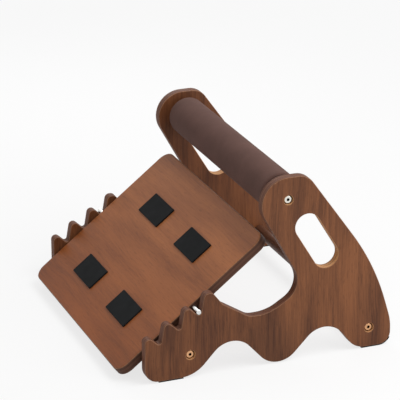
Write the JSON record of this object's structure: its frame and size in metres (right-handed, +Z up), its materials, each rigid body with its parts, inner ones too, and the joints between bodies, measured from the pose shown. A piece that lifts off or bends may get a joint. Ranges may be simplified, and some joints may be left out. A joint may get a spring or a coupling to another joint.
{
  "type": "tilting under desk footrest",
  "caption": "Plywood footrest with a tilting board hung on edge pins in a row of notches, a free-turning foam roller, hand slots and non-slip feet.",
  "frame": {"origin": "on the floor, in the middle of the outline", "axes": "+X to the user's right along the roller, +Y away from the user, +Z up"},
  "size_m": [0.45, 0.4408, 0.3],
  "materials": {
    "panel_walnut": "satin lacquer over a vertical grain",
    "board_walnut": "satin lacquer, fine grain",
    "dowel_walnut": "satin lacquer",
    "roller_foam": "smooth closed-cell foam skin, matt",
    "core_plastic": "moulded",
    "grip_rubber": "matt",
    "foot_rubber": "matt",
    "pin_steel": "bright turned steel",
    "bolt_nickel": "nickel plated",
    "bolt_brass": "yellow passivated",
    "insert_zinc": "zinc"
  },
  "bodies": {
    "frame": {"side_panel_right": "panel_walnut", "side_panel_left": "panel_walnut", "foot_strip_front_right": "foot_rubber", "foot_strip_front_left": "foot_rubber", "foot_strip_rear_right": "foot_rubber", "foot_strip_rear_left": "foot_rubber", "crossbar_front": "dowel_walnut", "crossbar_rear": "dowel_walnut", "crossbar_inserts": "insert_zinc", "crossbar_bolts": "bolt_brass", "roller_axle_bolts": "bolt_nickel", "bolt_washers": "bolt_nickel", "roller_lock_nuts": "bolt_nickel"},
    "pins": {"pivot_pin_right": "pin_steel", "pivot_pin_left": "pin_steel"},
    "board": {"tilting_board": "board_walnut", "grip_pad_front_right": "grip_rubber", "grip_pad_front_left": "grip_rubber", "grip_pad_rear_right": "grip_rubber", "grip_pad_rear_left": "grip_rubber"},
    "roller": {"roller_core_tube": "core_plastic", "roller_foam_sleeve": "roller_foam", "roller_end_plug_right": "core_plastic", "roller_end_plug_left": "core_plastic"}
  },
  "joints": [
    {"name": "roller_spin", "type": "hinge", "parent": "frame", "child": "roller", "pos_m": [0, 0.0445, 0.264], "axis": [1, 0, 0], "continuous": true},
    {"name": "board_lift", "type": "slide", "parent": "frame", "child": "pins", "axis": [0, 0, 1], "range_m": [0, 0.036]},
    {"name": "board_tilt", "type": "hinge", "parent": "pins", "child": "board", "pos_m": [0, -0.0987, 0.1048], "axis": [1, 0, 0], "range_deg": [-79.5, 3.5]}
  ]
}
